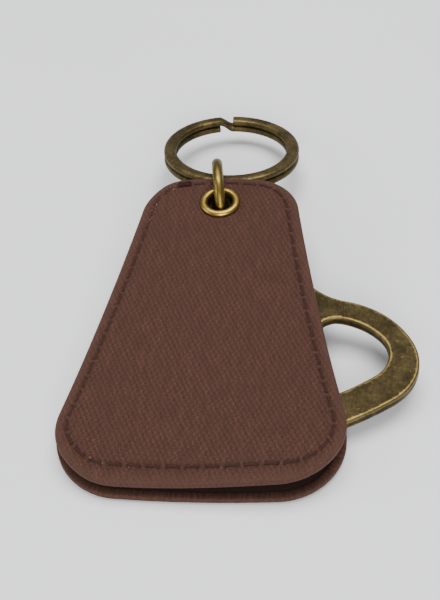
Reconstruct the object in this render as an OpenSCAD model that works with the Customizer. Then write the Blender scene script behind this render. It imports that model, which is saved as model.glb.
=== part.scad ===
// Keychain bottle opener: a flat metal opener swings out of a two-sided fabric case.
// Origin: centre of the case's flat back face. +Z out of the front cover, +Y towards the key ring,
// +X the side that the opener swings out of.

/* [Case outline] */
// Width of a cover at its bottom corners
bottom_w = 56; // [46:0.5:68]
// Width of a cover at its top corners
top_w = 29; // [24:0.5:35]
// Height of a cover between its corners
case_h = 70.4; // [58:0.2:85]
// Radius of the bottom corners
bottom_corner_r = 11.4; // [6:0.1:13]
// Radius of the top corners
top_corner_r = 8.3; // [5:0.1:9]
// How far the bottom edge bows out
bottom_bow = 1.7; // [0:0.1:3]
// How far the top edge bows out
top_bow = 1.5; // [0:0.1:3]
// How far each side bows in
side_hollow = 0.9; // [0:0.1:2]

/* [Cover layers] */
// Thickness of the fabric skin
skin_t = 0.4; // [0.3:0.05:0.8]
// Thickness of the stiffening board
board_t = 0.6; // [0.4:0.05:1.2]
// Thickness of the lining
lining_t = 0.3; // [0.2:0.05:0.6]
// Width of the fabric turned round the board's edge
hem_w = 1.5; // [0.5:0.1:1.5]
// Width of the left margin that bends in to the sewn side
margin_w = 3.6; // [2.5:0.1:4.5]
// Space left between the covers' edges at the sewn side
pinch_gap = 0.1; // [0:0.05:0.5]

/* [Stitching] */
// Distance from the top edge to its row of stitches
stitch_top = 1.6; // [1.2:0.1:2.4]
// Distance from a side edge to its row of stitches
stitch_side = 2.3; // [1.8:0.1:2.6]
// Distance from the bottom edge to its row of stitches
stitch_bottom = 3.5; // [2:0.1:4.5]
// Distance from one stitch to the next
stitch_pitch = 3.3; // [2.5:0.1:4.5]
// Length of the thread that shows in each stitch
stitch_len = 2.5; // [1.8:0.1:2.6]
// Width of the thread
thread_w = 0.4; // [0.3:0.05:0.6]
// Height that the front thread stands above the fabric
thread_proud = 0.1; // [0:0.05:0.2]
// Space on each side of the thread in its groove
thread_clear = 0.2; // [0.05:0.05:0.3]
// Depth that the thread sinks into the fabric
thread_sink = 0.2; // [0.1:0.05:0.25]

/* [Eyelet] */
// Radius of the hole through the eyelet
eyelet_hole_r = 2.45; // [2:0.05:3]
// Wall of the eyelet's barrel
eyelet_wall = 0.45; // [0.3:0.05:0.7]
// Radius of the eyelet's flange
eyelet_flange_r = 4; // [3.6:0.1:5.5]
// Height of the flange above the front cover
eyelet_flange_h = 0.8; // [0.5:0.05:1.2]
// Thickness of the washer at the back
washer_t = 0.35; // [0.2:0.05:0.38]
// Distance from the eyelet's centre to the top corners' line
eyelet_drop = 5.7; // [5:0.1:8]

/* [Opener] */
// Thickness of the opener's plate
plate_t = 2; // [1.2:0.1:3]
// Distance from the pivot to the end of the head
opener_reach = 57.5; // [50:0.5:60]
// Width of the opener's head
head_w = 40; // [36:0.5:41]
// Radius of the corners at the end of the head
head_corner_r = 10.5; // [8:0.1:12]
// Radius of the shoulders between the neck and the head
shoulder_r = 17; // [15:0.1:19]
// Radius of the hollow curve at the neck
neck_r = 12; // [8:0.1:14]
// Width of the stem where it meets the neck
stem_w = 16; // [14:0.5:18]
// Radius of the eye round the pivot hole
eye_r = 6.4; // [5.4:0.1:6.8]
// Width of the rim beside the mouth
rim_side = 4.4; // [3.6:0.1:5.5]
// Width of the rim past the end of the mouth
rim_end = 6.3; // [5:0.1:8]
// Radius of the mouth's far corners
mouth_corner_r = 6; // [5:0.1:7]
// Distance from the pivot to the near edge of the mouth
mouth_start = 35.1; // [33.5:0.1:36]
// Length of the lip that catches the cap
lip_len = 4.2; // [3:0.1:5]
// Width of the lip at its root
lip_root_w = 16.4; // [14:0.1:17]
// Width of the lip at its tip
lip_tip_w = 10; // [8:0.1:12]
// How far the opener stands open from the closed position
opener_angle = 24; // [0:1:100]

/* [Rings] */
// Outer radius of the jump ring
jump_r = 7.8; // [7.5:0.1:9]
// Thickness of the jump ring's wire
jump_wire = 2.1; // [1.6:0.1:2.2]
// Height of the jump ring's centre above the back face
jump_z = 1.2; // [0.8:0.1:2.5]
// How far the jump ring is turned towards -X
jump_turn = 7; // [-13:1:13]
// Height above the back face at which the split ring passes through the jump ring
split_z = 1.5; // [1:0.1:2.5]
// Outer radius of the split ring
split_r = 14.3; // [12:0.1:20]
// Width of the split ring's wire across the ring
split_w = 2.6; // [2:0.1:2.7]
// Thickness of each of the split ring's two coils
coil_t = 1.5; // [1:0.05:1.55]
// Stretch where the wire crosses from one coil to the other, in degrees
ramp_angle = 13; // [10:1:45]
// Direction from the split ring's centre to the end of its lower coil, from +X towards +Y
coil_start = 113; // [60:1:140]
// How far the split ring hangs down from level
split_tilt = 14; // [0:1:30]
// Direction in which the split ring lies, from +Y towards +X
split_heading = 7.5; // [-15:0.5:15]

/* [Clearances] */
// Space between the opener and each cover
plate_clear = 0.15; // [0.1:0.05:0.4]
// Running clearance round the pivot
pivot_clear = 0.1; // [0.05:0.05:0.1]
// Space between the washer and its recess
washer_clear = 0.05; // [0:0.05:0.2]
// Least space between the jump ring and the eyelet's wall
jump_clear = 0.15; // [0.1:0.05:0.3]
// Space between the split ring and the case's top edge
split_clear = 0.5; // [0.2:0.05:0.5]
// Least gap between the two rings, beyond the split ring
ring_clear = 0.3; // [0.1:0.05:0.3]
// Space between the split ring's coils
coil_gap = 0.05; // [0.03:0.01:0.2]

/* [Hidden] */

fabric = [0.36, 0.25, 0.21];
thread = [0.25, 0.14, 0.11];
antique_brass = [0.44, 0.38, 0.26];
bright_brass = [0.80, 0.68, 0.36];

cover_t = skin_t + board_t + lining_t;
gap_t = plate_t + 2 * plate_clear;
case_t = 2 * cover_t + gap_t;
front_z = cover_t + gap_t;
side_slope = atan((bottom_w - top_w) / 2 / case_h);
pinch = (case_t - pinch_gap) / 2;
margin_bend = acos(cover_t / norm([pinch, margin_w])) - atan2(margin_w, pinch);
layer_start = 0.4;
eyelet_y = case_h / 2 - eyelet_drop;
barrel_r = eyelet_hole_r + eyelet_wall;
edge_dist = eyelet_drop + top_bow;
jump_wire_r = jump_wire / 2;
coil_pitch = coil_t + coil_gap;
wire_corner_r = 0.4 * split_w;
split_reach = norm([split_w / 2 - wire_corner_r, coil_gap / 2 + coil_t - wire_corner_r]) + wire_corner_r;
split_dist = edge_dist + split_reach + split_clear;
jump_inside = jump_r - jump_wire;
jump_dist = max(jump_r - eyelet_hole_r + jump_clear, split_dist + split_reach + ring_clear - jump_inside);
split_mid_r = split_r - split_w / 2;
bore_fn = 64;
big = 200;

// Points along a circle's arc, both ends included
function arc(c, r, a0, a1, n = 16) =
    [for (i = [0:n]) c + r * [cos(a0 + (a1 - a0) * i / n), sin(a0 + (a1 - a0) * i / n)]];

// A point on the edge from p to q, which bows out to the right of its direction by sag
function bowed(p, q, sag, t) =
    p + (q - p) * t + [q.y - p.y, p.x - q.x] / norm(q - p) * 4 * sag * t * (1 - t);

// A point on the rounded corner c between p and q: an ellipse's arc, or a circle's when the sides match
function corner_point(p, c, q, w, t) =
    (p * (1 - t) ^ 2 + c * 2 * w * t * (1 - t) + q * t ^ 2) / ((1 - t) ^ 2 + 2 * w * t * (1 - t) + t ^ 2);

// Half the width of a cover at height y, before its sides bow in
function half_width(y) = bottom_w / 2 - (y + case_h / 2) * tan(side_slope);

function inset_corner(y, side) = [half_width(y) - side / cos(side_slope), y];

// The covers' outline, moved in by its own distance at the top, the sides and the bottom
function cover_outline(top = 0, side = 0, bottom = 0, n = 10) =
    let (
        low = inset_corner(-case_h / 2 + bottom, side),
        high = inset_corner(case_h / 2 - top, side),
        corners = [[-low.x, low.y], low, high, [-high.x, high.y]],
        bows = [bottom_bow, -side_hollow, top_bow, -side_hollow],
        radii = [
            max(1, bottom_corner_r - max(side, bottom)), max(1, bottom_corner_r - max(side, bottom)),
            max(1, top_corner_r - max(side, top)), max(1, top_corner_r - max(side, top))
        ],
        turns = [90 + side_slope, 90 + side_slope, 90 - side_slope, 90 - side_slope],
        tangents = [for (i = [0:3]) radii[i] * tan(turns[i] / 2)]
    ) [
        for (i = [0:3])
            let (
                j = (i + 1) % 4,
                k = (i + 2) % 4,
                length = norm(corners[j] - corners[i]),
                next = norm(corners[k] - corners[j]),
                t0 = tangents[i] / length,
                t1 = 1 - tangents[j] / length,
                start = bowed(corners[i], corners[j], bows[i], t1),
                end = bowed(corners[j], corners[k], bows[j], tangents[j] / next)
            )
            each concat(
                [for (s = [0:n - 1]) bowed(corners[i], corners[j], bows[i], t0 + (t1 - t0) * s / n)],
                [for (s = [0:n - 1]) corner_point(start, corners[j], end, cos(turns[j] / 2), s / n)]
            )
    ];

// Lengths along a closed outline, from its first point to each point
function run_lengths(pts) =
    [for (i = 0, sum = 0; i <= len(pts); sum = sum + norm(pts[(i + 1) % len(pts)] - pts[i % len(pts)]), i = i + 1) sum];

// The place and heading at one length along a closed outline
function place_along(pts, lengths, at) =
    let (
        i = max([for (k = [0:len(pts) - 1]) if (lengths[k] <= at) k]),
        p = pts[i],
        q = pts[(i + 1) % len(pts)],
        heading = q - p
    ) [p + heading * (at - lengths[i]) / norm(heading), atan2(heading.y, heading.x)];

// Frame of the left margin: its x runs inwards from the line where the cover starts to bend
module margin_frame() {
    low = inset_corner(-case_h / 2, margin_w);
    translate([-low.x, low.y, 0]) rotate([0, 0, -side_slope]) children();
}

// The space under the front cover's outer face, lowered by sink, down to height bottom right of
// the bend and to the same depth below the slanting face left of it
module under_face(sink, depth) {
    slant = tan(margin_bend);
    drop = depth / cos(margin_bend) - depth;
    margin_frame() rotate([90, 0, 0]) linear_extrude(big * 2, center = true) polygon([
        [big, case_t - sink],
        [0, case_t - sink],
        [-2 * margin_w, case_t - sink - 2 * margin_w * slant],
        [-2 * margin_w, case_t - depth - drop - 2 * margin_w * slant],
        [drop / slant, case_t - depth],
        [big, case_t - depth]
    ]);
}

// Puts a front piece at the back of the case
module at_back() {
    translate([0, 0, case_t]) mirror([0, 0, 1]) children();
}

// A flat layer of the front cover, right of the bent margin
module flat_layer(z, t, inset) {
    difference() {
        translate([0, 0, z]) linear_extrude(t) polygon(cover_outline(inset, inset, inset));
        margin_frame() translate([layer_start - big, -big, -big]) cube([big, 2 * big, 2 * big]);
        translate([0, eyelet_y, 0]) cylinder(h = big, r = barrel_r, center = true, $fn = bore_fn);
    }
}

// Groove that the stitches lie in, cut down from the outer face
module stitch_groove() {
    half = thread_w / 2 + thread_clear;
    difference() {
        linear_extrude(big) polygon(cover_outline(stitch_top - half, stitch_side - half, stitch_bottom - half));
        translate([0, 0, -1]) linear_extrude(big + 2)
            polygon(cover_outline(stitch_top + half, stitch_side + half, stitch_bottom + half));
        under_face(thread_sink, cover_t + 1);
    }
}

// Fabric skin of a cover, turned in round the board and grooved along its stitches
module skin() {
    difference() {
        intersection() {
            linear_extrude(2 * case_t) polygon(cover_outline());
            under_face(0, cover_t);
        }
        flat_layer(front_z - 1, board_t + lining_t + 1, hem_w);
        stitch_groove();
        translate([0, eyelet_y, 0]) cylinder(h = big, r = barrel_r, $fn = bore_fn);
    }
}

// Places and headings along the row of stitches: shift 0.5 gives their middles, 0 the holes between
function stitch_spots(shift) =
    let (
        pts = cover_outline(stitch_top, stitch_side, stitch_bottom),
        lengths = run_lengths(pts),
        total = lengths[len(pts)],
        count = round(total / stitch_pitch)
    ) [for (i = [0:count - 1]) place_along(pts, lengths, (i + shift) * total / count)];

// Row of stitches round a front cover; proud is the height that it stands above the fabric
module stitches(proud) {
    intersection() {
        under_face(-proud, thread_sink);
        for (spot = stitch_spots(0.5))
            translate([spot[0].x, spot[0].y, case_t]) rotate([0, 0, spot[1]])
                cube([stitch_len, thread_w, case_t], center = true);
    }
}

module front_cover() {
    color(fabric) skin();
}

module front_stiffener() {
    color("tan") flat_layer(front_z + lining_t, board_t, hem_w);
}

module front_lining() {
    color(fabric * 0.7) flat_layer(front_z, lining_t, hem_w);
}

module front_stitching() {
    color(thread) stitches(thread_proud);
}

module back_cover() {
    color(fabric) difference() {
        at_back() skin();
        translate([0, eyelet_y, -1])
            cylinder(h = washer_t + 1, r = eyelet_flange_r + washer_clear, $fn = bore_fn);
    }
}

module back_stiffener() {
    color("tan") at_back() front_stiffener();
}

module back_lining() {
    color(fabric * 0.7) at_back() front_lining();
}

module back_stitching() {
    color(thread) at_back() stitches(0);
}

// Threads that join the two covers down the left side
module side_seam_stitching() {
    low = bottom_corner_r * 1.2 - case_h / 2;
    high = case_h / 2 - top_corner_r * 1.2;
    color(thread) intersection() {
        for (spot = stitch_spots(0)) if (spot[0].x < 0 && spot[0].y > low && spot[0].y < high)
            translate([spot[0].x, spot[0].y, 0]) cylinder(h = case_t, r = thread_w / 2, $fn = 24);
        under_face(thread_sink, case_t * 2);
        at_back() under_face(thread_sink, case_t * 2);
    }
}

module eyelet() {
    flange_mid = (eyelet_hole_r + eyelet_flange_r) / 2;
    lip_r = (eyelet_flange_r - eyelet_hole_r) / 2;
    color(bright_brass) translate([0, eyelet_y, 0]) {
        difference() {
            cylinder(h = case_t, r = barrel_r, $fn = bore_fn);
            translate([0, 0, -1]) cylinder(h = case_t + 2, r = eyelet_hole_r, $fn = bore_fn);
        }
        translate([0, 0, case_t]) rotate_extrude($fn = bore_fn) polygon(concat(
            [[flange_mid - lip_r, 0]],
            [for (a = [180:-15:0]) [flange_mid + lip_r * cos(a), eyelet_flange_h * sin(a)]]
        ));
    }
}

module eyelet_washer() {
    color(bright_brass) translate([0, eyelet_y, 0]) difference() {
        cylinder(h = washer_t, r = eyelet_flange_r, $fn = bore_fn);
        translate([0, 0, -1]) cylinder(h = washer_t + 2, r = barrel_r, $fn = bore_fn);
    }
}

// Opener's outline on its right side, from the pivot's top round to the middle of its end
function opener_side() =
    let (
        hw = head_w / 2,
        sw = stem_w / 2,
        corner_c = [hw - head_corner_r, -sqrt((opener_reach - head_corner_r) ^ 2 - (hw - head_corner_r) ^ 2)],
        shoulder_c = [hw - shoulder_r, corner_c.y],
        neck_x = sw + neck_r,
        neck_c = [neck_x, shoulder_c.y + sqrt((neck_r + shoulder_r) ^ 2 - (neck_x - shoulder_c.x) ^ 2)],
        lean = atan2(neck_c.y - shoulder_c.y, neck_c.x - shoulder_c.x),
        end_a = atan2(corner_c.y, corner_c.x)
    ) concat(
        arc([0, 0], eye_r, 90, 0),
        arc(neck_c, neck_r, 180, 180 + lean),
        arc(shoulder_c, shoulder_r, lean, 0),
        arc(corner_c, head_corner_r, 0, end_a),
        arc([0, 0], opener_reach, end_a, -90, 8)
    );

// Mouth's outline on its right side, from its near edge round to the middle of its far edge
function mouth_side() =
    let (
        hw = head_w / 2,
        head_y = -sqrt((opener_reach - head_corner_r) ^ 2 - (hw - head_corner_r) ^ 2),
        side_c = [hw - shoulder_r, head_y],
        side_r = shoulder_r - rim_side,
        far_r = opener_reach - rim_end,
        step = side_r - mouth_corner_r,
        k = ((far_r - mouth_corner_r) ^ 2 - side_c * side_c - step ^ 2) / (2 * step * norm(side_c)),
        turn = atan2(side_c.y, side_c.x) + acos(k),
        corner_c = side_c + step * [cos(turn), sin(turn)],
        end_a = atan2(corner_c.y, corner_c.x),
        start_a = asin((-mouth_start - side_c.y) / side_r)
    ) concat(
        arc(side_c, side_r, start_a, turn),
        arc(corner_c, mouth_corner_r, turn, end_a, 10),
        arc([0, 0], far_r, end_a, -90, 8)
    );

// A closed outline from its right side and that side's mirror image
module symmetric(side) {
    polygon(concat(side, [for (i = [len(side) - 2:-1:0]) [-side[i].x, side[i].y]]));
}

module opener() {
    lip_r = 1.5;
    lip_end = -mouth_start - lip_len;
    color(antique_brass) translate([0, eyelet_y, cover_t + plate_clear]) rotate([0, 0, opener_angle])
        linear_extrude(plate_t) {
            difference() {
                symmetric(opener_side());
                symmetric(mouth_side());
                circle(r = barrel_r + pivot_clear, $fn = bore_fn);
            }
            polygon(concat(
                [[lip_root_w / 2, 1 - mouth_start]],
                arc([lip_tip_w / 2 - lip_r, lip_end + lip_r], lip_r, 30, -90, 8),
                arc([lip_r - lip_tip_w / 2, lip_end + lip_r], lip_r, 270, 150, 8),
                [[-lip_root_w / 2, 1 - mouth_start]]
            ));
        }
}

module jump_ring() {
    color(bright_brass) translate([0, eyelet_y, 0]) rotate([0, 0, jump_turn])
        translate([0, jump_dist, jump_z]) rotate([0, 90, 0])
            rotate_extrude($fn = 96) translate([jump_r - jump_wire_r, 0]) circle(r = jump_wire_r, $fn = 48);
}

// Section of the split ring's wire: a flat strip with round edges
function wire_section(n = 3) =
    let (x = split_w / 2 - wire_corner_r, y = coil_t / 2 - wire_edge_r(), r = wire_corner_r)
    [
        for (q = [0:3])
            let (sx = q == 0 || q == 3 ? 1 : -1, sy = q < 2 ? 1 : -1)
            for (s = [0:n])
                [sx * x, sy * y] + [r * cos(q * 90 + 90 * s / n), wire_edge_r() * sin(q * 90 + 90 * s / n)]
    ];

function wire_edge_r() = coil_t * 0.4;

// Height of the wire's centre at an angle round the two coils
function coil_height(a) =
    let (t = min(1, max(0, (a - 360 + ramp_angle) / ramp_angle)))
    coil_pitch * (t * t * (3 - 2 * t) - 0.5);

module split_ring() {
    section = wire_section();
    n = len(section);
    turns = 720 - ramp_angle;
    rings = 176;
    pts = [
        for (i = [0:rings])
            let (a = turns * i / rings)
            for (p = section)
                [(split_mid_r + p.x) * cos(a), (split_mid_r + p.x) * sin(a), coil_height(a) + p.y]
    ];
    sides = [
        for (i = [0:rings - 1], k = [0:n - 1])
            let (a = i * n + k, b = i * n + (k + 1) % n)
            each [[a, b, b + n], [a, b + n, a + n]]
    ];
    first_end = [for (k = [0:n - 1]) n - 1 - k];
    last_end = [for (k = [0:n - 1]) rings * n + k];
    color(antique_brass) translate([0, eyelet_y, split_z])
        translate([-split_dist * sin(jump_turn), split_dist * cos(jump_turn), 0])
            rotate([0, 0, -split_heading]) rotate([-split_tilt, 0, 0]) translate([0, split_mid_r, 0])
                rotate([0, 0, coil_start]) polyhedron(pts, concat(sides, [first_end, last_end]));
}

front_cover();
front_stiffener();
front_lining();
front_stitching();
back_cover();
back_stiffener();
back_lining();
back_stitching();
side_seam_stitching();
eyelet();
eyelet_washer();
opener();
jump_ring();
split_ring();
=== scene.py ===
import math

import bmesh
import bpy
import numpy as np
from mathutils import Matrix, Vector


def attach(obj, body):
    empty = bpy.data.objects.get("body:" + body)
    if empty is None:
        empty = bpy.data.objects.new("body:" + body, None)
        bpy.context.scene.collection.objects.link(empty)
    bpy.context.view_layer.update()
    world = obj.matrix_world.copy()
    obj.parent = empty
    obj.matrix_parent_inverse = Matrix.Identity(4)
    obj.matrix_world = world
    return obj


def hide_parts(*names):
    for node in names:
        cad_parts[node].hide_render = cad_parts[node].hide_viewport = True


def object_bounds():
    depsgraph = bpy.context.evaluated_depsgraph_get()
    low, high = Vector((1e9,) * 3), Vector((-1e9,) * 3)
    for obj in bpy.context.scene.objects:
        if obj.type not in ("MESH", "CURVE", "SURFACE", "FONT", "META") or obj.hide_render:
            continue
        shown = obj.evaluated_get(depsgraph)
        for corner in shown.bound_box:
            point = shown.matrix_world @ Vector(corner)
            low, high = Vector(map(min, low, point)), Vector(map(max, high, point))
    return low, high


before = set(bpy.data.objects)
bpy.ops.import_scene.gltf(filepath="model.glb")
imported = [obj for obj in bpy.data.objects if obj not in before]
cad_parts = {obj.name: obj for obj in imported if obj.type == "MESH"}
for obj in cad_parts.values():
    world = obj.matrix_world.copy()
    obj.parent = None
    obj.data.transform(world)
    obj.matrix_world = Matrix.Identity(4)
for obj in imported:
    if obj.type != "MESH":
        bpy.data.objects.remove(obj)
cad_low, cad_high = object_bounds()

# Lengths are in millimetres, and angles in degrees, until a mesh is made from them.
MM = 0.001

# Outline of the covers, which bow out at the top and bottom and in at the sides
BOTTOM_W = 56.0
TOP_W = 29.0
CASE_H = 70.4
BOTTOM_CORNER = 11.4
TOP_CORNER = 8.3
BOTTOM_BOW = 1.7
TOP_BOW = 1.5
SIDE_HOLLOW = 0.9
SIDE_SLOPE = math.atan((BOTTOM_W - TOP_W) / 2 / CASE_H)

# Layers of the covers; the lining and the board lie in the cloth's turned-in hem
CASE_T = 4.9
COVER_T = 1.3
LINING_T = 0.3
BOARD_T = 0.6
HEM_W = 1.5
EDGE_R = 0.5
FOLD_R = 0.32
LINING_LOW = CASE_T - COVER_T
BOARD_LOW = LINING_LOW + LINING_T
POCKET_TOP = BOARD_LOW + BOARD_T

# How the covers lie: the left margin bends in to the seam, and the front's two free corners have
# warped one up and one down, which draws its bottom edge up the case
MARGIN_W = 3.6
MARGIN_SLANT = 0.29
LAYER_START = 0.4
CORNER_LIFT = 0.9
CORNER_SAG = 0.9
FRONT_SHORT = 0.8

# Stitches: their distance from the top, the sides and the bottom, and the thread
STITCH_INSET = (1.6, 2.3, 3.5)
STITCH_PITCH = 3.3
STITCH_LEN = 2.1
STEPS_PER_STITCH = 12
THREAD_R = 0.23
KNOT_THREAD_R = 0.34
KNOT_AT = (-7.4, 33.7)
TWIST_PER_MM = 0.8

EYELET_Y = 29.5
HOLE_R = 2.45
BARREL_R = 2.9
FLANGE_R = 4.0
FLANGE_H = 0.8

# Opener: its plate, its head, and the mouth with its cap lip
PLATE_LOW = 1.45
PLATE_T = 2.0
PLATE_EDGE_R = 0.38
OPENER_ANGLE = 24.0
REACH = 57.5
EYE_R = 6.4
STEM_HALF = 8.0
NECK_R = 12.0
HEAD_HALF = 20.0
SHOULDER_R = 17.0
HEAD_CORNER_R = 10.5
HEAD_Y = -math.sqrt((REACH - HEAD_CORNER_R) ** 2 - (HEAD_HALF - HEAD_CORNER_R) ** 2)
RIM_SIDE = 4.4
RIM_END = 6.3
MOUTH_CORNER_R = 6.0
MOUTH_START = 35.1
LIP_LEN = 4.2
LIP_HALF = 5.0
LIP_ROOT_HALF = 7.05
LIP_CORNER_R = 1.5

JUMP_R = 7.8
JUMP_WIRE_R = 1.05
JUMP_CLEAR = 0.15
JUMP_DIST = JUMP_R - HOLE_R + JUMP_CLEAR
JUMP_Z = 1.2
JUMP_TURN = 7.0
JUMP_JOINT = 215.0

# Split ring: two coils of one wire, whose corners are rounded over a share of its half sizes
SPLIT_R = 14.3
SPLIT_W = 2.6
COIL_T = 1.5
COIL_GAP = 0.05
COIL_START = 113.0
RAMP_ANGLE = 13.0
SPLIT_Z = 1.5
SPLIT_TILT = 14.0
SPLIT_HEADING = 7.5
SPLIT_CLEAR = 0.5
WIRE_ROUNDING = 0.8
SPLIT_MID_R = SPLIT_R - SPLIT_W / 2
WIRE_CORNER = WIRE_ROUNDING * SPLIT_W / 2
SPLIT_REACH = math.hypot(SPLIT_W / 2 - WIRE_CORNER, COIL_GAP / 2 + COIL_T - WIRE_CORNER) + WIRE_CORNER
SPLIT_DIST = CASE_H / 2 + TOP_BOW - EYELET_Y + SPLIT_REACH + SPLIT_CLEAR

UPWARD = np.array([0.0, 0.0, 1.0])
rng = np.random.default_rng(7)


# ---------------------------------------------------------------- meshes

def add_piece(name, points, faces, finish, body, stands_for, marks=None):
    """A smooth mesh made from points in millimetres, which rides on a body in place of a CAD node."""
    mesh = bpy.data.meshes.new(name)
    mesh.from_pydata((np.asarray(points) * MM).tolist(), [], faces)
    for mark, values in (marks or {}).items():
        values = np.asarray(values, np.float32)
        if values.ndim == 1:
            layer = mesh.attributes.new(mark, "FLOAT", "POINT")
            layer.data.foreach_set("value", values)
        else:
            layer = mesh.attributes.new(mark, "FLOAT_VECTOR", "POINT")
            layer.data.foreach_set("vector", values.ravel())
    shape = bmesh.new()
    shape.from_mesh(mesh)
    fit_piece(name, shape, mesh, finish, body, stands_for)


def fit_piece(name, shape, mesh, finish, body, stands_for):
    """Write a shape to its mesh and put the piece on its body, in place of a CAD node."""
    bmesh.ops.recalc_face_normals(shape, faces=shape.faces)
    shape.to_mesh(mesh)
    shape.free()
    mesh.polygons.foreach_set("use_smooth", [True] * len(mesh.polygons))
    mesh.materials.append(finish)
    piece = bpy.data.objects.new(name, mesh)
    bpy.context.scene.collection.objects.link(piece)
    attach(piece, body)
    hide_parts(stands_for)


def tube_faces(rows, columns, closed=False):
    """Quads between rows of points, each row a closed loop."""
    faces = []
    for row in range(rows if closed else rows - 1):
        low = row * columns
        high = (row + 1) % rows * columns
        for c in range(columns):
            d = (c + 1) % columns
            faces.append((low + c, low + d, high + d, high + c))
    return faces


def sweep(path, across, up, section, closed=False):
    """Points and faces of a section carried along a path, the same all the way or one for each place."""
    section = np.asarray(section)
    if section.ndim == 2:
        section = np.broadcast_to(section, (len(path),) + section.shape)
    points = path[:, None] + section[:, :, :1] * across[:, None] + section[:, :, 1:] * up[:, None]
    rows, columns = section.shape[:2]
    faces = tube_faces(rows, columns, closed)
    if not closed:
        faces.append(tuple(range(columns))[::-1])
        faces.append(tuple(range((rows - 1) * columns, rows * columns)))
    return points.reshape(-1, 3), faces


def joined(parts):
    """Points and faces of several meshes as one."""
    points = []
    faces = []
    start = 0
    for part_points, part_faces in parts:
        points.append(part_points)
        faces += [tuple(v + start for v in face) for face in part_faces]
        start += len(part_points)
    return np.concatenate(points), faces


def turned(profile, centre, segments=128):
    """A ring turned from a closed profile of (radius, height) points."""
    angle = np.linspace(0, 2 * math.pi, segments, endpoint=False)
    r = np.array([p[0] for p in profile])
    z = np.array([p[1] for p in profile])
    points = np.stack([
        centre[0] + np.cos(angle)[:, None] * r,
        centre[1] + np.sin(angle)[:, None] * r,
        centre[2] + np.zeros((segments, 1)) + z,
    ], axis=-1)
    return points.reshape(-1, 3), tube_faces(segments, len(profile), closed=True)


def rounded(points, radius, steps=6):
    """A closed profile whose corners are rounded off."""
    out = []
    count = len(points)
    for i in range(count):
        p = np.array(points[i - 1], float)
        c = np.array(points[i], float)
        q = np.array(points[(i + 1) % count], float)
        reach = min(radius, np.hypot(*(p - c)) / 2.05, np.hypot(*(q - c)) / 2.05)
        a = c + (p - c) / np.hypot(*(p - c)) * reach
        b = c + (q - c) / np.hypot(*(q - c)) * reach
        for t in np.linspace(0, 1, steps):
            out.append((1 - t) ** 2 * a + 2 * t * (1 - t) * c + t ** 2 * b)
    return out


def spin(points, degrees, axis="Z"):
    """Points turned about an axis through the origin."""
    matrix = np.array(Matrix.Rotation(math.radians(degrees), 3, axis))
    return points @ matrix.T


def smooth_step(x, low, high):
    """0 below low, 1 above high, and an even curve between."""
    t = np.clip((x - low) / (high - low), 0, 1)
    return t * t * (3 - 2 * t)


# ---------------------------------------------------------------- case

def corner_at(y, side):
    """A point on the case's straight right side at height y, moved in by side."""
    half = BOTTOM_W / 2 - (y + CASE_H / 2) * math.tan(SIDE_SLOPE)
    return np.array([half - side / math.cos(SIDE_SLOPE), y])


def bowed(p, q, sag, t):
    """Points on the edge from p to q, which bows out to the right of its direction by sag."""
    d = q - p
    out = np.array([d[1], -d[0]]) / np.hypot(*d)
    return p + d * t[:, None] + out * (4 * sag * t * (1 - t))[:, None]


def cover_outline(top, side, bottom, n=60):
    """A cover's outline, moved in by its own distance at the top, the sides and the bottom."""
    low = corner_at(-CASE_H / 2 + bottom, side)
    high = corner_at(CASE_H / 2 - top, side)
    corners = [low * (-1, 1), low, high, high * (-1, 1)]
    bows = (BOTTOM_BOW, -SIDE_HOLLOW, TOP_BOW, -SIDE_HOLLOW)
    radii = [BOTTOM_CORNER - max(side, bottom)] * 2 + [TOP_CORNER - max(side, top)] * 2
    turns = [math.pi / 2 + SIDE_SLOPE] * 2 + [math.pi / 2 - SIDE_SLOPE] * 2
    tangents = [r * math.tan(a / 2) for r, a in zip(radii, turns)]
    s = np.arange(n) / n
    rows = []
    for i in range(4):
        j = (i + 1) % 4
        k = (i + 2) % 4
        t0 = tangents[i] / np.hypot(*(corners[j] - corners[i]))
        t1 = 1 - tangents[j] / np.hypot(*(corners[j] - corners[i]))
        after = tangents[j] / np.hypot(*(corners[k] - corners[j]))
        start = bowed(corners[i], corners[j], bows[i], np.array([t1]))[0]
        end = bowed(corners[j], corners[k], bows[j], np.array([after]))[0]
        w = math.cos(turns[j] / 2)
        weights = np.stack([(1 - s) ** 2, 2 * w * s * (1 - s), s ** 2], axis=1)
        rows.append(bowed(corners[i], corners[j], bows[i], t0 + (t1 - t0) * s))
        rows.append(weights @ np.array([start, corners[j], end]) / weights.sum(axis=1)[:, None])
    return np.concatenate(rows)


def around_stitches():
    """Where along the outline each step of the row of stitches falls, and the number of stitches."""
    row = cover_outline(*STITCH_INSET)
    gaps = np.hypot(*(np.roll(row, -1, axis=0) - row).T)
    lengths = np.concatenate([[0], np.cumsum(gaps)])
    count = round(lengths[-1] / STITCH_PITCH)
    at = np.arange(count * STEPS_PER_STITCH) / (count * STEPS_PER_STITCH) * lengths[-1]
    return np.interp(at, lengths, np.arange(len(row) + 1)), count


PLACES, STITCH_COUNT = around_stitches()


def cover_loop(top, side, bottom):
    """One loop of a cover, with the same number of points to each stitch."""
    pts = cover_outline(top, side, bottom)
    pts = np.concatenate([pts, pts[:1]])
    index = np.arange(len(pts))
    return np.stack([np.interp(PLACES, index, pts[:, i]) for i in (0, 1)], axis=1)


def outward(loop):
    """The direction straight out of a loop at each of its points."""
    d = np.roll(loop, -1, axis=0) - np.roll(loop, 1, axis=0)
    d /= np.hypot(d[:, 0], d[:, 1])[:, None]
    return np.stack([d[:, 1], -d[:, 0]], axis=1)


def from_bend(x, y):
    """Distance to the right of the line where the sewn side starts to bend."""
    low = corner_at(-CASE_H / 2, MARGIN_W) * (-1, 1)
    return (x - low[0]) * math.cos(SIDE_SLOPE) - (y - low[1]) * math.sin(SIDE_SLOPE)


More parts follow.
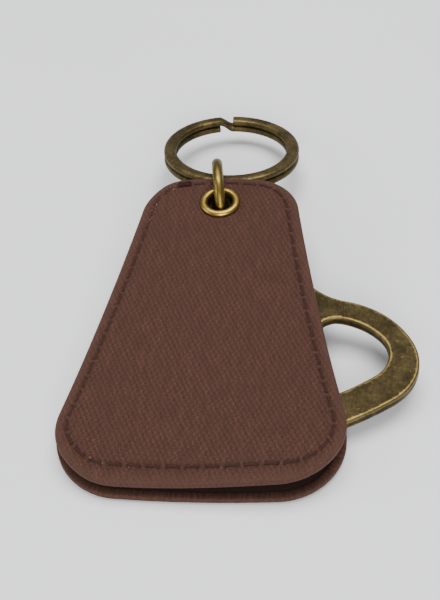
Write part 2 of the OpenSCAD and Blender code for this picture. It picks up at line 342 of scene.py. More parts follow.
def cover_rise(x, y, back):
    """How far a cover stands off its flat place: the sewn side bends in and the front's open corner lifts."""
    across = from_bend(x, y)
    bend = MARGIN_SLANT * 0.5 * (across - np.sqrt(across ** 2 + 0.5))
    if back:
        return bend
    lift = CORNER_LIFT * smooth_step(x, -14, 24) * smooth_step(-y, 2, 37)
    sag = CORNER_SAG * smooth_step(across, 0, 7) * smooth_step(-x, -22, 16) * smooth_step(-y, 26, 37)
    return bend + lift - sag


def furrow(depth, distance, phase):
    """How the thread pulls the cloth down along its row, and further at the holes between stitches."""
    from_gap = np.minimum(phase, 1 - phase) * STITCH_PITCH
    hole = np.exp(-((from_gap - (STITCH_PITCH - STITCH_LEN) / 2) / 0.28) ** 2)
    gap = smooth_step(from_gap, 0.1, 0.55)
    return -depth * np.exp(-(distance / 0.45) ** 2) * (0.15 + 0.35 * gap + 1.1 * hole)


def set_in_place(points, back):
    """Points made for a front cover, turned over for the back, or drawn up at the bottom for the front."""
    if back:
        points[:, 2] = CASE_T - points[:, 2]
    else:
        points[:, 1] += FRONT_SHORT * smooth_step(-points[:, 1], 8, 35)
    return points


def cover_piece(side, back, finish):
    """The cloth skin of a cover: hem, rounded edge, stitched margin and face, down to the eyelet's hole."""
    steps = len(PLACES)
    phase = (np.arange(steps) % STEPS_PER_STITCH) / STEPS_PER_STITCH
    nearest_gap = np.minimum(phase, 1 - phase)
    # Painted shade: how dark the cloth is painted along each stitch, darkest at the holes between stitches.
    shade_at_holes = np.interp(nearest_gap, (0.0, 0.1, 0.18, 0.26, 0.5), (0.0, 0.35, 1.0, 0.5, 0.35))
    normal = outward(cover_loop(0, 0, 0))
    points = []
    cloth = []
    edge = []
    hole_shade_rows = []

    def add_loop(loop, height, travel=0.0, wear=0.0, groove=0.0):
        """One loop of the skin; travel is how far the cloth goes on past it round the edge, and the last
        argument is how much painted shade the loop gets at the row of stitches.
        """
        rise = cover_rise(loop[:, 0], loop[:, 1], back)
        points.append(np.column_stack([loop, height + rise]))
        cloth.append(np.column_stack([loop + normal * travel, np.zeros(steps)]))
        edge.append(np.full(steps, wear))
        hole_shade_rows.append(groove * shade_at_holes)

    # Hem under the cover, then the fold and the rounded edge
    hem = cover_loop(*(HEM_W,) * 3)
    add_loop(hem, POCKET_TOP, 3.7)
    add_loop(hem, LINING_LOW + 0.1, 3.3, 0.2)
    add_loop(cover_loop(*(HEM_W - 0.1,) * 3), LINING_LOW, 3.1, 0.4)
    for a in np.linspace(0, math.pi / 2, 5):
        inset = FOLD_R * (1 - math.sin(a))
        add_loop(cover_loop(*(inset,) * 3), LINING_LOW + FOLD_R * (1 - math.cos(a)), 1.9 - 0.4 * a, 1.0)
    for a in np.linspace(0, math.pi / 2, 7):
        inset = EDGE_R * (1 - math.cos(a))
        add_loop(cover_loop(*(inset,) * 3), CASE_T - EDGE_R * (1 - math.sin(a)), 0.8 - EDGE_R * a, 1.0)

    # Margin: each loop's distance from the row of stitches, and its insets as in STITCH_INSET
    margin = (
        (-1.4, (0.75, 0.8, 0.9)), (-1.0, (1.05, 1.3, 1.7)), (-0.6, (1.25, 1.7, 2.5)),
        (-0.35, (1.4, 1.95, 3.0)), (-0.15, (1.5, 2.15, 3.3)), (0, STITCH_INSET),
        (0.15, (1.7, 2.45, 3.7)), (0.35, (1.8, 2.65, 4.0)), (0.6, (1.95, 2.9, 4.3)), (1.0, (2.2, 3.3, 4.8)),
    )
    for distance, inset in margin:
        puff = 0.05 * math.exp(-((distance + 0.9) / 0.35) ** 2) * (1 - np.cos(2 * math.pi * phase)) / 2
        height = CASE_T + furrow(0.17, distance, phase) + puff
        # The last value is the painted shade along the row of stitches, strongest on the row itself.
        add_loop(cover_loop(*inset), height, 0.0, max(0, -distance - 0.6), math.exp(-(distance / 0.4) ** 2))

    # Face, slightly wavy, then the cloth's dip under the eyelet's flange
    inner = points[-1][:, :2]
    centre = np.array([0, EYELET_Y])
    ray = inner - centre
    ray /= np.hypot(ray[:, 0], ray[:, 1])[:, None]
    flange_dip = -0.36 if back else -0.12
    dips = ((4.5, 0.0), (4.2, -0.04), (4.04, flange_dip), (BARREL_R, flange_dip))
    first_ring = centre + ray * dips[0][0]
    for t in np.linspace(0, 1, 27)[1:-1]:
        loop = inner + (first_ring - inner) * t
        x, y = loop.T
        waves = 0.02 * (np.sin(0.9 * x + 0.4 * y) + np.sin(0.31 * x - 0.7 * y))
        add_loop(loop, CASE_T + waves * smooth_step(t, 0, 0.2) * smooth_step(1 - t, 0, 0.2))
    for radius, dip in dips:
        add_loop(centre + ray * radius, CASE_T + dip)

    # Underside, against the board
    barrel = centre + ray * BARREL_R
    for t in np.linspace(0, 1, 24)[:-1] ** 1.2:
        add_loop(barrel + (hem - barrel) * t, POCKET_TOP)

    # The stitch row's mark carries painted shade for the row and its holes.
    marks = {"cloth": np.concatenate(cloth), "edge": np.concatenate(edge), "groove": np.concatenate(hole_shade_rows)}
    faces = tube_faces(len(points), steps, closed=True)
    points = set_in_place(np.concatenate(points), back)
    add_piece(side + "_cover_cloth", points, faces, finish, "case", side + "_cover", marks)


def layer_piece(name, node, back, low, high, finish):
    """A board or lining inside a cover, cut off where the sewn side bends and holed for the eyelet."""
    centre = np.array([0, EYELET_Y])
    cut = np.array([math.cos(SIDE_SLOPE), -math.sin(SIDE_SLOPE)])
    outer = cover_loop(*(HEM_W + 0.02,) * 3)
    short = np.minimum(from_bend(outer[:, 0], outer[:, 1]) - LAYER_START, 0)
    outer = outer - short[:, None] * cut
    ray = outer - centre
    ray /= np.hypot(ray[:, 0], ray[:, 1])[:, None]
    hole = centre + ray * (BARREL_R + 0.02)
    loops = [outer + (hole - outer) * t for t in np.linspace(0, 1, 22) ** 0.8]
    sheets = []
    for z, order in ((low, 1), (high, -1)):
        for loop in loops[::order]:
            sheets.append(np.column_stack([loop, z + cover_rise(loop[:, 0], loop[:, 1], back)]))
    points = set_in_place(np.concatenate(sheets), back)
    marks = {"cloth": points * (1, 1, 0)}
    faces = tube_faces(len(sheets), len(outer), closed=True)
    add_piece(name, points, faces, finish, "case", node, marks)


def thread_strand(path, up, radius, twist_per_mm, turn, sides=8):
    """Two plies twisted together along a path."""
    d = np.gradient(path, axis=0)
    length = np.concatenate([[0], np.cumsum(np.linalg.norm(np.diff(path, axis=0), axis=1))])
    d /= np.linalg.norm(d, axis=1)[:, None]
    across = np.cross(d, up)
    across /= np.linalg.norm(across, axis=1)[:, None]
    over = np.cross(across, d)
    angle = np.linspace(0, 2 * math.pi, sides, endpoint=False)
    section = np.stack([np.cos(angle), np.sin(angle)], axis=1) * radius * 0.62
    parts = []
    for ply in (0, math.pi):
        roll = length * twist_per_mm * 2 * math.pi + ply + turn
        middle = path + (across * np.cos(roll)[:, None] + over * np.sin(roll)[:, None]) * radius * 0.5
        parts.append(sweep(middle, across, over, section))
    return joined(parts)


def stitch_piece(side, back, finish):
    """The row of stitches round a cover, each dipping into its holes, and the front's knot of thread."""
    row = cover_loop(*STITCH_INSET)
    tangent = outward(row) @ np.array([[0, 1], [-1, 0]])
    reach = STITCH_LEN / 2 + 0.1
    along = np.linspace(-1, 1, 15)

    def stitch(centre, direction, half_len, height, dip, radius, turn):
        """One stitch, raised by height in its middle and sunk by dip at its ends."""
        flat = centre + direction * (along * half_len)[:, None]
        rise = cover_rise(flat[:, 0], flat[:, 1], back)
        path = np.column_stack([flat, CASE_T + rise + height - dip * np.abs(along) ** 5])
        return thread_strand(set_in_place(path, back), UPWARD, radius, TWIST_PER_MM, turn)

    parts = []
    for number in range(STITCH_COUNT):
        middle = number * STEPS_PER_STITCH + STEPS_PER_STITCH // 2
        heading = spin(np.array([*tangent[middle], 0.0]), rng.uniform(-4, 4))[:2]
        half_len = reach * rng.uniform(0.94, 1.04)
        parts.append(stitch(row[middle], heading, half_len, -0.03, 0.36, THREAD_R, rng.uniform(0, 6.3)))
    row_points = sum(len(points) for points, _ in parts)
    if not back:
        place = int(np.argmin(np.hypot(*(row - KNOT_AT).T)))
        for offset, lean in ((-0.15, 3.0), (0.1, -24.0), (0.3, 17.0)):
            heading = spin(np.array([*tangent[place], 0.0]), lean)[:2]
            parts.append(stitch(row[place] + (0.06, offset), heading, 1.3, 0.2, 0.52, KNOT_THREAD_R, lean))
    points, faces = joined(parts)
    marks = {"knot": (np.arange(len(points)) >= row_points).astype(float)}
    node = side + "_stitching"
    add_piece(node + "_thread", points, faces, finish, "case", node, marks)


# ---------------------------------------------------------------- eyelet

def eyelet_pieces(finish):
    """The eyelet with its rolled flange and turned-over barrel, and the washer that the barrel holds."""
    mid = (HOLE_R + FLANGE_R) / 2
    half = (FLANGE_R - HOLE_R) / 2
    profile = [(HOLE_R, 0.5), (HOLE_R, 2.4), (HOLE_R, CASE_T - 0.3)]
    for a in np.linspace(180, 0, 25):
        c = math.cos(math.radians(a))
        s = math.sin(math.radians(a))
        profile.append((mid + half * c, CASE_T + FLANGE_H * s ** 0.85))
    profile += [(FLANGE_R - 0.02, CASE_T - 0.08), (FLANGE_R - 0.15, CASE_T - 0.1), (BARREL_R, CASE_T - 0.1)]
    profile += [(BARREL_R, 2.4), (BARREL_R, 0.3), (3.2, 0.22), (3.38, 0.15), (3.4, 0.08), (3.3, 0.02)]
    profile += [(3.1, 0.0), (2.85, 0.02), (2.65, 0.1), (2.52, 0.24)]
    points, faces = turned(profile, (0, EYELET_Y, 0))
    # Painted shade: the eyelet is painted darker from just under the flange's top down through the barrel.
    deep = np.clip((CASE_T + 0.15 - points[:, 2]) / 0.7, 0, 1)
    add_piece("eyelet_rolled", points, faces, finish, "case", "eyelet", {"deep": deep})
    inside = BARREL_R + 0.02
    washer = [(inside, 0.2), (3.55, 0.16), (FLANGE_R - 0.02, 0.04), (FLANGE_R, 0.35), (inside, 0.35)]
    points, faces = turned(rounded(washer, 0.09), (0, EYELET_Y, 0))
    add_piece("eyelet_back_washer", points, faces, finish, "case", "eyelet_washer")


# ---------------------------------------------------------------- opener

def arc(c, r, a0, a1, n=24):
    """Points along a circle's arc, both ends included."""
    a = np.radians(np.linspace(a0, a1, n + 1))
    return np.array(c) + r * np.stack([np.cos(a), np.sin(a)], axis=1)


def mirrored(side):
    """A closed loop from its right half, with the pivot above and the head below."""
    return np.concatenate([side, (side * (-1, 1))[::-1]])


def opener_outline():
    """The plate's edge: round the eye, down the stem and its neck, and round the head."""
    corner = np.array([HEAD_HALF - HEAD_CORNER_R, HEAD_Y])
    shoulder = np.array([HEAD_HALF - SHOULDER_R, HEAD_Y])
    to_neck_x = STEM_HALF + NECK_R - shoulder[0]
    to_neck_y = math.sqrt((NECK_R + SHOULDER_R) ** 2 - to_neck_x ** 2)
    neck = shoulder + (to_neck_x, to_neck_y)
    lean = math.degrees(math.atan2(to_neck_y, to_neck_x))
    end = math.degrees(math.atan2(corner[1], corner[0]))
    return mirrored(np.concatenate([
        arc((0, 0), EYE_R, 90, 0),
        arc(neck, NECK_R, 180, 180 + lean),
        arc(shoulder, SHOULDER_R, lean, 0),
        arc(corner, HEAD_CORNER_R, 0, end),
        arc((0, 0), REACH, end, -90),
    ]))


def mouth_outline():
    """The mouth's edge with the cap lip standing into it from the pivot side."""
    centre = np.array([HEAD_HALF - SHOULDER_R, HEAD_Y])
    side_r = SHOULDER_R - RIM_SIDE
    far_r = REACH - RIM_END
    step = side_r - MOUTH_CORNER_R
    reach = far_r - MOUTH_CORNER_R
    k = (reach ** 2 - centre @ centre - step ** 2) / (2 * step * np.hypot(*centre))
    turn = math.degrees(math.atan2(centre[1], centre[0]) + math.acos(k))
    corner = centre + step * np.array([math.cos(math.radians(turn)), math.sin(math.radians(turn))])
    end = math.degrees(math.atan2(corner[1], corner[0]))
    start = math.degrees(math.asin((-MOUTH_START - centre[1]) / side_r))
    lip_corner = (LIP_HALF - LIP_CORNER_R, LIP_CORNER_R - MOUTH_START - LIP_LEN)
    return mirrored(np.concatenate([
        arc(lip_corner, LIP_CORNER_R, -90, 30, 12),
        [(LIP_ROOT_HALF, -MOUTH_START)],
        arc(centre, side_r, start, turn),
        arc(corner, MOUTH_CORNER_R, turn, end),
        arc((0, 0), far_r, end, -90),
    ]))


def even_loop(loop, spacing, soften):
    """A closed loop at even spacing, its corners softened."""
    keep = np.hypot(*(np.roll(loop, -1, axis=0) - loop).T) > 1e-6
    loop = loop[keep]
    gaps = np.hypot(*(np.roll(loop, -1, axis=0) - loop).T)
    lengths = np.concatenate([[0], np.cumsum(gaps)])
    ring = np.concatenate([loop, loop[:1]])
    count = int(lengths[-1] / spacing)
    at = np.arange(count) / count * lengths[-1]
    even = np.stack([np.interp(at, lengths, ring[:, i]) for i in (0, 1)], axis=1)
    for _ in range(soften):
        even = even / 2 + (np.roll(even, 1, axis=0) + np.roll(even, -1, axis=0)) / 4
    return even


def opener_piece(finish):
    """The plate, with softly rounded edges round its outline, its mouth and its pivot hole."""
    hole = arc((0, 0), BARREL_R + 0.1, 0, 360, 96)[:-1]
    loops = [even_loop(opener_outline(), 0.45, 4), even_loop(mouth_outline(), 0.4, 3), hole]
    shape = bmesh.new()
    edge_layer = shape.verts.layers.float.new("edge")
    caps = {0: [], 1: []}
    for number, loop in enumerate(loops):
        inward = -outward(loop)
        area = np.sum(loop[:, 0] * np.roll(loop[:, 1], -1) - np.roll(loop[:, 0], -1) * loop[:, 1])
        if (area < 0) == (number == 0):
            inward = -inward
        # Each row's distance in from the edge, its depth below the face, and how worn it is
        profile = [(1.7, 0, 0.0), (1.2, 0, 0.05), (0.9, 0, 0.25), (0.7, 0, 0.5)]
        for a in np.linspace(0, math.pi / 2, 6):
            profile.append((PLATE_EDGE_R * (1 - math.sin(a)), PLATE_EDGE_R * (1 - math.cos(a)), 1.0))
        profile.append((0, 0.8, 0.35))
        if number == 2:
            profile = profile[1:]
        half = [(d, PLATE_LOW + z, e) for d, z, e in profile]
        top = [(d, PLATE_LOW + PLATE_T - z, e) for d, z, e in profile[::-1]]
        rows = []
        for d, z, e in half + top:
            ring = []
            for x, y in loop + inward * d:
                vert = shape.verts.new(Vector((x, y, z)) * MM)
                vert[edge_layer] = e
                ring.append(vert)
            rows.append(ring)
        for low, high in zip(rows[:-1], rows[1:]):
            for c in range(len(low)):
                d = (c + 1) % len(low)
                shape.faces.new((low[c], low[d], high[d], high[c]))
        for side, ring in ((0, rows[0]), (1, rows[-1])):
            for c in range(len(ring)):
                caps[side].append(shape.edges.get((ring[c], ring[(c + 1) % len(ring)])))
    for side in (0, 1):
        bmesh.ops.triangle_fill(shape, use_beauty=True, use_dissolve=False, edges=caps[side])
    place = Matrix.Translation((0, EYELET_Y * MM, 0)) @ Matrix.Rotation(math.radians(OPENER_ANGLE), 4, "Z")
    shape.transform(place)
    mesh = bpy.data.meshes.new("opener_plate")
    fit_piece("opener_plate", shape, mesh, finish, "opener", "opener")


# ---------------------------------------------------------------- rings

def jump_ring_piece(finish):
    """A ring of round wire, its two cut ends meeting in a fine joint underneath."""
    half_gap = 0.5
    bend_r = JUMP_R - JUMP_WIRE_R
    angle = np.radians(np.linspace(JUMP_JOINT + half_gap, JUMP_JOINT + 360 - half_gap, 161))
    ends = np.ones(len(angle))
    ends[[0, -1]] = 0.86
    ends[[1, -2]] = 0.96
    angle[[1, -2]] = angle[[0, -1]] + np.array([1, -1]) * 0.012
    out = np.stack([np.zeros_like(angle), np.cos(angle), np.sin(angle)], axis=1)
    side = np.tile([1.0, 0, 0], (len(angle), 1))
    around = np.linspace(0, 2 * math.pi, 32, endpoint=False)
    wire = np.stack([np.cos(around), np.sin(around)], axis=1) * JUMP_WIRE_R
    points, faces = sweep(out * bend_r, out, side, wire[None] * ends[:, None, None])
    points = points + (0, JUMP_DIST, JUMP_Z)
    points = spin(points, JUMP_TURN) + (0, EYELET_Y, 0)
    # Painted shade: the wire is painted darker where it dips into the eyelet's hole below the cover's face.
    deep = np.clip((CASE_T - 0.6 - points[:, 2]) / 1.6, 0, 1) * (points[:, 1] < EYELET_Y + 4)
    marks = {"deep": deep}
    add_piece("jump_ring_wire", points, faces, finish, "jump_ring", "jump_ring", marks)


def split_ring_piece(finish):
    """Two coils of flat, round-edged wire that cross over near the coils' two cut ends."""
    turns = 720 - RAMP_ANGLE
    stations = np.linspace(0, turns, 420)
    stations = np.sort(np.concatenate([stations, [0.5, 1.0, turns - 0.5, turns - 1.0]]))
    t = np.clip((stations - 360 + RAMP_ANGLE) / RAMP_ANGLE, 0, 1)
    height = (COIL_T + COIL_GAP) * (smooth_step(t, 0, 1) - 0.5)
    a = np.radians(stations)
    out = np.stack([np.cos(a), np.sin(a), np.zeros_like(a)], axis=1)
    up = np.tile(UPWARD, (len(a), 1))
    half = np.array([SPLIT_W, COIL_T]) / 2
    section = []
    for q in range(4):
        sx = 1 if q in (0, 3) else -1
        sy = 1 if q < 2 else -1
        for s in np.radians(np.linspace(0, 90, 7)) + q * math.pi / 2:
            rounding = WIRE_ROUNDING * np.array([math.cos(s), math.sin(s)])
            section.append(half * ((sx, sy) * np.array(1 - WIRE_ROUNDING) + rounding))
    section = np.array(section)
    ends = np.ones(len(a))
    ends[[0, -1]] = 0.84
    ends[[1, -2]] = 0.97
    path = out * SPLIT_MID_R + up * height[:, None]
    points, faces = sweep(path, out, up, section[None] * ends[:, None, None])
    rim_mark, face_mark = np.tile(np.abs(section / half), (len(a), 1)).T
    points = spin(points, COIL_START) + (0, SPLIT_MID_R, 0)
    points = spin(spin(points, -SPLIT_TILT, "X"), -SPLIT_HEADING)
    turn = math.radians(JUMP_TURN)
    points = points + (-SPLIT_DIST * math.sin(turn), EYELET_Y + SPLIT_DIST * math.cos(turn), SPLIT_Z)
    marks = {"edge": smooth_step(rim_mark, 0.5, 0.85) * smooth_step(face_mark, 0.35, 0.75)}
    add_piece("split_ring_coils", points, faces, finish, "split_ring", "split_ring", marks)


# ---------------------------------------------------------------- finishes

def tint(r, g, b):
    """A colour given as it looks, 0 to 255, for a shader."""
    linear = [(c / 255 / 12.92 if c <= 10 else ((c / 255 + 0.055) / 1.055) ** 2.4) for c in (r, g, b)]
    return (*linear, 1.0)


class Amount:
    """A number that varies over a surface; arithmetic on it adds Math nodes."""

    def __init__(self, tree, socket):
        self.tree = tree
        self.socket = socket

    def maths(self, operation, *values):
        node = self.tree.nodes.new("ShaderNodeMath")
        node.operation = operation
        for slot, value in zip(node.inputs, values):
            if isinstance(value, Amount):
                self.tree.links.new(value.socket, slot)
            else:
                slot.default_value = value
        return Amount(self.tree, node.outputs[0])

    def __add__(self, other):
        return self.maths("ADD", self, other)

    __radd__ = __add__

    def __sub__(self, other):
        return self.maths("SUBTRACT", self, other)

    def __rsub__(self, other):
        return self.maths("SUBTRACT", other, self)

    def __mul__(self, other):
        return self.maths("MULTIPLY", self, other)

    __rmul__ = __mul__


class Finish:
    """One material being made up."""

    def __init__(self, name):
        self.material = bpy.data.materials.new(name)
        self.material.use_nodes = True
        self.tree = self.material.node_tree
        self.tree.nodes.clear()

    def add(self, kind, settings=None, sockets=None, output=0):
        """Any node: its type, its settings, then the values or links of its sockets."""
        node = self.tree.nodes.new(kind)
        for name, value in (settings or {}).items():
            if name == "stops":
                while len(node.color_ramp.elements) < len(value):
                    node.color_ramp.elements.new(0.5)
                for element, (position, colour) in zip(node.color_ramp.elements, value):
                    element.position = position
                    element.color = colour
            else:
                setattr(node, name, value)
        for name, value in (sockets or {}).items():
            slot = node.inputs[name]
            if isinstance(value, Amount):
                self.tree.links.new(value.socket, slot)
            else:
                slot.default_value = value
        return Amount(self.tree, node.outputs[output]) if node.outputs else None

    def mark(self, name, vector=False):
        """What a mesh says of itself at each point, under this name."""
        return self.add("ShaderNodeAttribute", {"attribute_name": name}, output=1 if vector else 2)

    def place(self):
        """Where a point is on the object, in metres."""
        return self.add("ShaderNodeTexCoord", output=3)

    def noise(self, where, scale, detail=2.0, rough=0.5, stretch=None):
        if stretch:
            where = self.add("ShaderNodeMapping", {}, {"Vector": where, "Scale": stretch})
        return self.add("ShaderNodeTexNoise", {}, {
            "Vector": where, "Scale": scale, "Detail": detail, "Roughness": rough})

    def wave(self, amount):
        """A sine wave from 0 to 1, one for each whole step of amount."""
        return self.add("ShaderNodeMath", {"operation": "SINE"}, {0: amount * (2 * math.pi)}) * 0.5 + 0.5

    def between(self, amount, low, high):
        """Amount taken smoothly from 0 at low to 1 at high."""
        return self.add("ShaderNodeMapRange", {"interpolation_type": "SMOOTHSTEP"}, {
            "Value": amount, "From Min": low, "From Max": high})

    def blend(self, factor, first, second, way="MIX"):
        return self.add("ShaderNodeMix", {"data_type": "RGBA", "blend_type": way}, {
            0: factor, 6: first, 7: second}, output=2)

    def dot(self, vector, direction):
        return self.add("ShaderNodeVectorMath", {"operation": "DOT_PRODUCT"}, {
            0: vector, 1: direction}, output=1)

    def relief(self, height, distance, strength=1.0, under=None):
        sockets = {"Height": height, "Distance": distance, "Strength": strength}
        if under is not None:
            sockets["Normal"] = under
        return self.add("ShaderNodeBump", {}, sockets)

    def surface(self, **sockets):
        named = {name.replace("_", " "): value for name, value in sockets.items()}
        shader = self.add("ShaderNodeBsdfPrincipled", {}, named)
        self.add("ShaderNodeOutputMaterial", {}, {"Surface": shader})
        return self.material


def twill_finish():
    """Brown cotton twill: steep ribs, a slightly uneven dye, fuzz, paler cloth on the folds, and painted
    shade along the row of stitches and in its holes.
    """
    f = Finish("brown_twill")
    cloth = f.mark("cloth", vector=True)
    edge = f.mark("edge")
    groove = f.mark("groove")
    rib_pitch = 0.85
    float_pitch = 0.92
    wander = f.noise(cloth, 0.35, 2.0) * 0.5 + f.noise(cloth, 2.2, 2.0) * 0.16
    rib = f.wave(f.dot(cloth, (0.906 / rib_pitch, 0.423 / rib_pitch, 0.0)) + wander)
    floats = f.wave(f.dot(cloth, (0.80 / float_pitch, -0.60 / float_pitch, 0.0)) + wander * 0.7)
    fuzz = f.noise(cloth, 9.0, 3.0, 0.7)
    grain = f.noise(cloth, 3.6, 3.0, 0.6)
    slub = f.noise(cloth, 1.0, 3.0, 0.6, (1.0, 0.25, 1.0))
    cloud = f.noise(cloth, 0.16, 3.0, 0.55)
    weave = rib * (0.72 + 0.28 * floats)
    shade = (rib * 0.12 + floats * 0.1) * (1 - edge * 0.5) + edge * 0.05
    shade = shade + fuzz * 1.1 + grain * 1.35 + slub * 0.45 - 1.01
    colour = f.add("ShaderNodeValToRGB", {"stops": [
        (0.0, tint(27, 15, 11)), (0.38, tint(50, 31, 25)), (0.68, tint(68, 43, 35)), (1.0, tint(94, 62, 51)),
    ]}, {"Fac": shade})
    colour = f.blend(f.between(cloud, 0.35, 0.68) * 0.3, colour, tint(54, 35, 27))
    colour = f.blend(edge * f.between(fuzz, 0.35, 0.75) * 0.4, colour, tint(92, 68, 57))
    # Painted shade along the row of stitches and in its holes, darkest at the holes.
    colour = f.blend(groove * (0.5 + slub * 0.85), colour, tint(26, 13, 10))
    worn_corner = f.between(f.dot(cloth, (-0.7, 0.7, 0.0)), 22.0, 28.0)
    worn_hem = f.between(f.dot(cloth, (-0.3, -1.0, 0.0)), 34.8, 36.4)
    snags = f.between(f.noise(cloth, 1.7, 2.0) + worn_corner * 0.07, 0.58, 0.63)
    # Pulled fibres lie near the row of stitches, found from the same mask as the painted shade.
    pulls = f.between(groove, 0.15, 0.5) * (worn_corner + worn_hem * 0.35) * snags
    colour = f.blend(pulls * 0.85, colour, tint(158, 116, 92))
    fibre = f.relief(fuzz, 0.00005, 0.7)
    normal = f.relief(weave * (1 - edge * 0.5), 0.00009, 0.85, fibre)
    return f.surface(
        Base_Color=colour, Roughness=0.88 - 0.1 * rib, Normal=normal, Specular_IOR_Level=0.15,
        Sheen_Weight=0.12, Sheen_Roughness=0.5, Sheen_Tint=tint(200, 150, 130))


def lining_finish():
    """Dark plain-weave lining."""
    f = Finish("dark_lining")
    cloth = f.mark("cloth", vector=True)
    pitch = 0.45
    warp = f.wave(f.dot(cloth, (1 / pitch, 0.0, 0.0))) * 2 - 1
    weft = f.wave(f.dot(cloth, (0.0, 1 / pitch, 0.0))) * 2 - 1
    weave = warp * weft * 0.5 + 0.5
    fuzz = f.noise(cloth, 7.0, 3.0, 0.6)
    colour = f.blend(weave * 0.6 + fuzz * 0.5, tint(16, 9, 7), tint(38, 24, 19))
    return f.surface(Base_Color=colour, Roughness=0.92 - 0.1 * fuzz, Normal=f.relief(weave, 0.00006, 0.8),
                     Specular_IOR_Level=0.1)


def board_finish():
    """Pale stiffening board with short fibres."""
    f = Finish("stiffening_board")
    cloth = f.mark("cloth", vector=True)
    fibres = f.noise(cloth, 1.6, 4.0, 0.7, (1.0, 3.0, 1.0))
    colour = f.blend(fibres, tint(134, 108, 78), tint(182, 156, 120))
    return f.surface(Base_Color=colour, Roughness=0.85 + 0.1 * fibres, Normal=f.relief(fibres, 0.00003, 0.8))


def thread_finish():
    """Dark brown sewing thread with fine fibres."""
    f = Finish("brown_thread")
    place = f.place()
    fibres = f.noise(place, 9000.0, 2.0, 0.6)
    patches = f.noise(place, 400.0, 2.0)
    colour = f.blend(fibres, tint(36, 20, 15), tint(68, 41, 33))
    colour = f.blend(patches * 0.35, colour, tint(34, 19, 15))
    colour = f.blend(f.mark("knot") * 0.8, colour, tint(34, 12, 8))
    return f.surface(Base_Color=colour, Roughness=0.62 + 0.2 * fibres, Normal=f.relief(fibres, 0.00004, 0.6),
                     Specular_IOR_Level=0.2)


def bright_brass_finish(name, clean, dull, share, gloss):
    """Yellow brass with dull patches where noise passes share, hairline scratches, small pits, and painted
    shade inside the eyelet's hole.
    """
    f = Finish(name)
    place = f.place()
    patches = f.between(f.noise(place, 420.0, 4.0, 0.6), share, share + 0.28)
    specks = f.between(f.noise(place, 2600.0, 3.0, 0.6), 0.55, 0.72)
    lines = f.noise(place, 900.0, 3.0, 0.65, (1.0, 1.0, 9.0))
    colour = f.blend(patches * 0.75, clean, dull)
    colour = f.blend(specks * 0.45, colour, tint(92, 74, 40))
    # Painted shade where a mesh marks it, inside the eyelet's hole.
    colour = f.blend(f.mark("deep") * 0.88, colour, tint(44, 32, 18))
    roughness = gloss + 0.18 * patches + 0.14 * lines
    return f.surface(Base_Color=colour, Metallic=1.0, Roughness=roughness,
                     Normal=f.relief(lines * 0.6 + patches * 0.4, 0.00004, 0.5))


def antique_brass_finish(name, depth):
    """Olive brass plating, darkened to depth, mottled and brushed, rubbed bright on its edges."""
    f = Finish(name)
    place = f.place()
    edge = f.mark("edge")
    clouds = f.noise(place, 230.0, 4.0, 0.62)
    grains = f.noise(place, 1500.0, 4.0, 0.68)
    brushed = f.noise(place, 620.0, 4.0, 0.7, (6.0, 1.0, 1.0))
    shade = clouds * 0.75 + grains * 0.5 + brushed * 0.3 - 0.17
    colour = f.add("ShaderNodeValToRGB", {"stops": [
        (0.30, tint(62, 53, 34)), (0.55, tint(104, 90, 58)),
        (0.72, tint(140, 122, 80)), (0.9, tint(176, 154, 100)),
    ]}, {"Fac": shade})
    colour = f.blend(1.0, colour, (depth, depth, depth, 1.0), "MULTIPLY")
    flecks = f.between(f.noise(place, 1050.0, 5.0, 0.75), 0.58, 0.7)
    colour = f.blend(flecks * 0.35, colour, tint(132, 112, 66))
    rubbed = f.between(edge + (grains - 0.5) * 1.1 + (clouds - 0.5) * 0.8, 0.5, 1.05)
    colour = f.blend(rubbed * 0.5, colour, tint(142, 121, 68))
    roughness = 0.5 - 0.2 * rubbed + 0.12 * grains - 0.08 * flecks
    normal = f.relief(brushed * 0.5 + grains * 0.5, 0.00007, 0.7)
    return f.surface(Base_Color=colour, Metallic=0.95, Roughness=roughness, Normal=normal)


def floor_finish():
    """Plain pale floor with a barely uneven surface."""
    f = Finish("pale_floor")
    place = f.place()
    soft = f.noise(place, 14.0, 2.0)
    colour = f.blend(soft, tint(222, 223, 226), tint(230, 231, 233))
    return f.surface(Base_Color=colour, Roughness=0.8 + 0.06 * soft)


# ---------------------------------------------------------------- the whole object

twill = twill_finish()
lining = lining_finish()
board = board_finish()
thread = thread_finish()
eyelet_brass = bright_brass_finish("eyelet_brass", tint(160, 133, 64), tint(96, 79, 38), 0.5, 0.27)
ring_brass = bright_brass_finish("jump_ring_brass", tint(136, 114, 54), tint(92, 77, 42), 0.34, 0.2)
opener_brass = antique_brass_finish("opener_antique_brass", 0.235)
split_ring_brass = antique_brass_finish("split_ring_antique_brass", 0.47)

for side, back in (("front", False), ("back", True)):
    cover_piece(side, back, twill)
    layer_piece(
        side + "_lining_layer", side + "_lining", back, LINING_LOW + 0.02, BOARD_LOW - 0.01, lining)
    layer_piece(side + "_board", side + "_stiffener", back, BOARD_LOW, POCKET_TOP - 0.02, board)
    stitch_piece(side, back, thread)

seam_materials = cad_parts["side_seam_stitching"].data.materials
seam_materials.clear()
seam_materials.append(thread)

eyelet_pieces(eyelet_brass)
opener_piece(opener_brass)
jump_ring_piece(ring_brass)
split_ring_piece(split_ring_brass)


# ---------------------------------------------------------------- floor, lights and camera

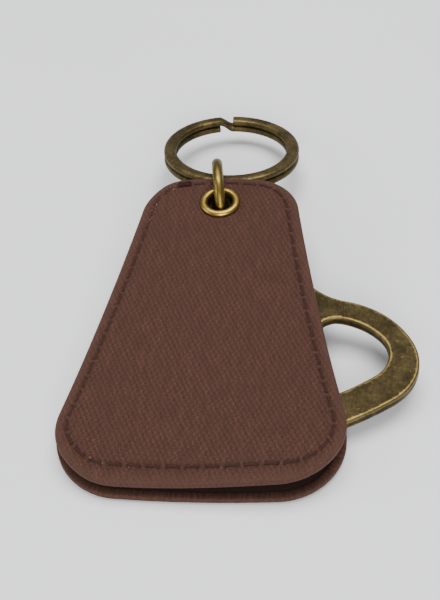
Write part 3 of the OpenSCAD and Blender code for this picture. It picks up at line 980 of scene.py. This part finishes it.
def add_floor():
    """A pale floor that the case's bottom edge and the jump ring rest on, so it slopes a little."""
    slope = 0.0922
    size = 1.6
    case_bottom = cad_low[1]
    corners = []
    for x, y in ((-size, -size), (size, -size), (size, size), (-size, size)):
        corners.append((x, y, -slope * (y - case_bottom)))
    mesh = bpy.data.meshes.new("floor")
    mesh.from_pydata(corners, [], [(0, 1, 2, 3)])
    mesh.materials.append(floor_finish())
    floor = bpy.data.objects.new("floor", mesh)
    bpy.context.scene.collection.objects.link(floor)


def add_light(name, place, size, power):
    """A rectangular softbox aimed at the object."""
    lamp = bpy.data.lights.new(name, "AREA")
    lamp.shape = "RECTANGLE"
    lamp.size = size[0]
    lamp.size_y = size[1]
    lamp.energy = power
    holder = bpy.data.objects.new(name, lamp)
    holder.location = place
    holder.rotation_mode = "QUATERNION"
    holder.rotation_quaternion = (-Vector(place)).to_track_quat("-Z", "Y")
    bpy.context.scene.collection.objects.link(holder)


add_floor()
add_light("top_softbox", (0.05, 0.25, 0.75), (0.7, 0.5), 9.0)
add_light("front_softbox", (0.12, -0.62, 0.42), (0.45, 0.3), 6.0)
add_light("side_fill", (-0.7, -0.1, 0.35), (0.4, 0.4), 2.2)

world = bpy.data.worlds.new("studio")
bpy.context.scene.world = world
world.use_nodes = True
sky = world.node_tree.nodes["Background"].inputs
sky["Color"].default_value = (0.86, 0.87, 0.9, 1)
sky["Strength"].default_value = 0.36


def add_camera():
    """Camera in front of the bottom edge, looking down at the case and rolled a little, in radians."""
    elevation = 0.8495
    yaw = 0.1474
    roll = -0.106
    distance = 246.667 * MM
    target = Vector((1.0694, 8.2912, 0)) * MM
    right = Vector((math.cos(yaw), math.sin(yaw), 0))
    forward = Vector((-math.sin(yaw), math.cos(yaw), 0))
    back = Vector((0, 0, math.sin(elevation))) - forward * math.cos(elevation)
    up = back.cross(right)
    rolled_right = math.cos(roll) * right + math.sin(roll) * up
    rolled_up = -math.sin(roll) * right + math.cos(roll) * up
    place = target + back * distance
    turn = Matrix((rolled_right, rolled_up, back)).transposed().to_4x4()
    lens = bpy.data.cameras.new("camera")
    lens.lens = 78
    lens.sensor_width = 36
    lens.clip_start = 0.01
    lens.clip_end = 10
    camera = bpy.data.objects.new("camera", lens)
    camera.matrix_world = Matrix.Translation(place) @ turn
    bpy.context.scene.collection.objects.link(camera)
    bpy.context.scene.camera = camera


add_camera()
